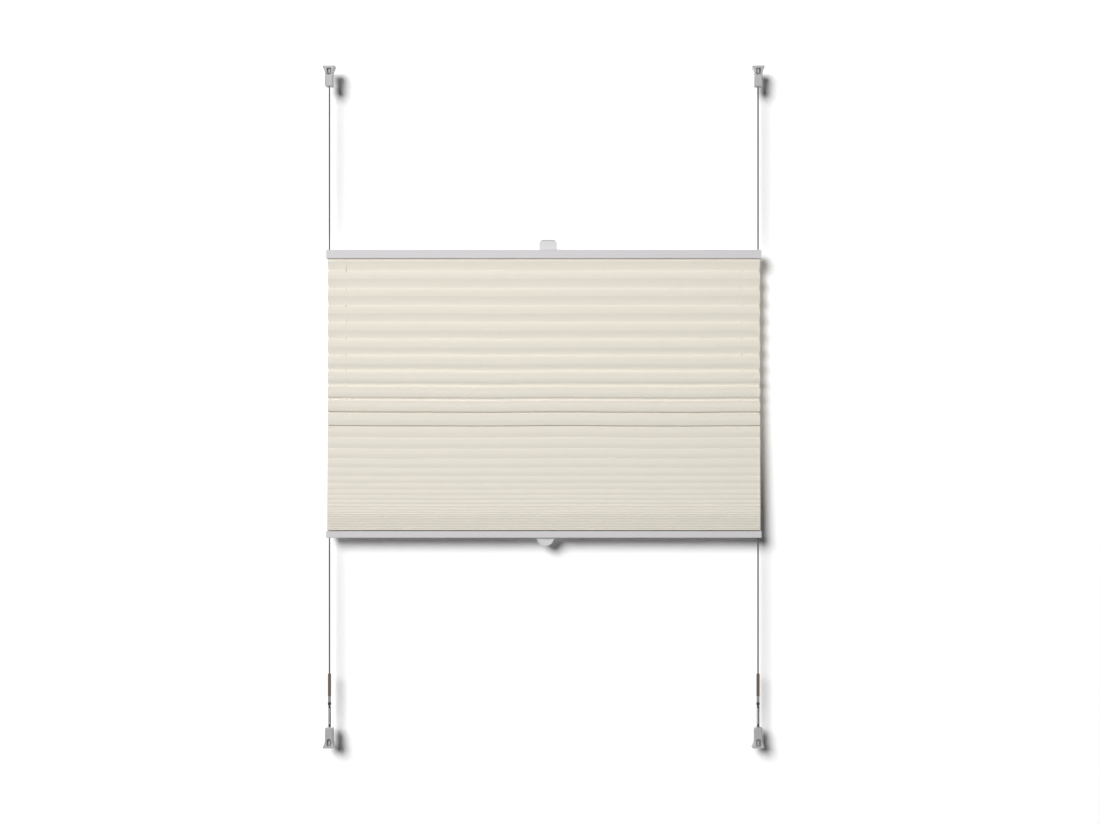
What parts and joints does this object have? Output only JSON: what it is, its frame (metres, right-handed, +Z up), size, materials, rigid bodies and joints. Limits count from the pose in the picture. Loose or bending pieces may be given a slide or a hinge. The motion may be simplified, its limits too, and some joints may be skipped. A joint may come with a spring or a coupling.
{
  "type": "pleated blind",
  "caption": "Pleated blind of folded cream cloth between sliding rails on taut guide cords, with shoes to screw to a window frame and sprung cord tensioners.",
  "frame": {"origin": "middle of the line between the upper fixing holes, on the feet that are screwed to the frame head", "axes": "+Z up, towards the upper feet; +X along the rails, to the right seen from the front; the front faces -Y"},
  "size_m": [0.8124, 0.022, 1.255],
  "materials": {
    "rail_aluminium": "satin",
    "cap_plastic": "satin",
    "guide_plastic": "matt",
    "strip_plastic": "matt",
    "handle_plastic": "satin",
    "shoe_plastic": "satin",
    "bead_plastic": "satin",
    "sleeve_plastic": "satin",
    "barrel_metal": "brushed",
    "collar_plastic": "gloss",
    "spring_steel": "bright",
    "anchor_steel": "bright",
    "cloth": "crepe, pleated",
    "cord": "braided"
  },
  "bodies": {
    "root": {"cloth_cord_from_left": "cord", "cloth_cord_from_right": "cord", "left_cord_barrel": "barrel_metal", "left_cord_sleeve": "sleeve_plastic", "left_lower_bead": "bead_plastic", "left_lower_cord": "cord", "left_lower_shoe": "shoe_plastic", "left_spring_anchor": "anchor_steel", "left_spring_collar": "collar_plastic", "left_tension_spring": "spring_steel", "left_upper_bead": "bead_plastic", "left_upper_cord": "cord", "left_upper_shoe": "shoe_plastic", "right_cord_barrel": "barrel_metal", "right_cord_sleeve": "sleeve_plastic", "right_lower_bead": "bead_plastic", "right_lower_cord": "cord", "right_lower_shoe": "shoe_plastic", "right_spring_anchor": "anchor_steel", "right_spring_collar": "collar_plastic", "right_tension_spring": "spring_steel", "right_upper_bead": "bead_plastic", "right_upper_cord": "cord", "right_upper_shoe": "shoe_plastic"},
    "top_rail": {"top_rail_clamp_strip": "strip_plastic", "top_rail_cord_from_left": "cord", "top_rail_cord_from_right": "cord", "top_rail_handle": "handle_plastic", "top_rail_left_cap": "cap_plastic", "top_rail_left_cord_guide": "guide_plastic", "top_rail_profile": "rail_aluminium", "top_rail_right_cap": "cap_plastic", "top_rail_right_cord_guide": "guide_plastic", "pleated_cloth": "cloth"},
    "bottom_rail": {"bottom_rail_clamp_strip": "strip_plastic", "bottom_rail_cord_from_left": "cord", "bottom_rail_cord_from_right": "cord", "bottom_rail_handle": "handle_plastic", "bottom_rail_left_cap": "cap_plastic", "bottom_rail_left_cord_guide": "guide_plastic", "bottom_rail_profile": "rail_aluminium", "bottom_rail_right_cap": "cap_plastic", "bottom_rail_right_cord_guide": "guide_plastic"}
  },
  "joints": [
    {"name": "top_rail_slide", "type": "slide", "parent": "root", "child": "top_rail", "axis": [0, 0, 1], "range_m": [-0.33, 0.298], "deforming": ["left_upper_cord", "right_upper_cord", "pleated_cloth", "cloth_cord_from_left", "cloth_cord_from_right"]},
    {"name": "bottom_rail_slide", "type": "slide", "parent": "root", "child": "bottom_rail", "axis": [0, 0, 1], "range_m": [-0.248, 0.1], "deforming": ["left_lower_cord", "right_lower_cord", "pleated_cloth", "cloth_cord_from_left", "cloth_cord_from_right"]}
  ]
}
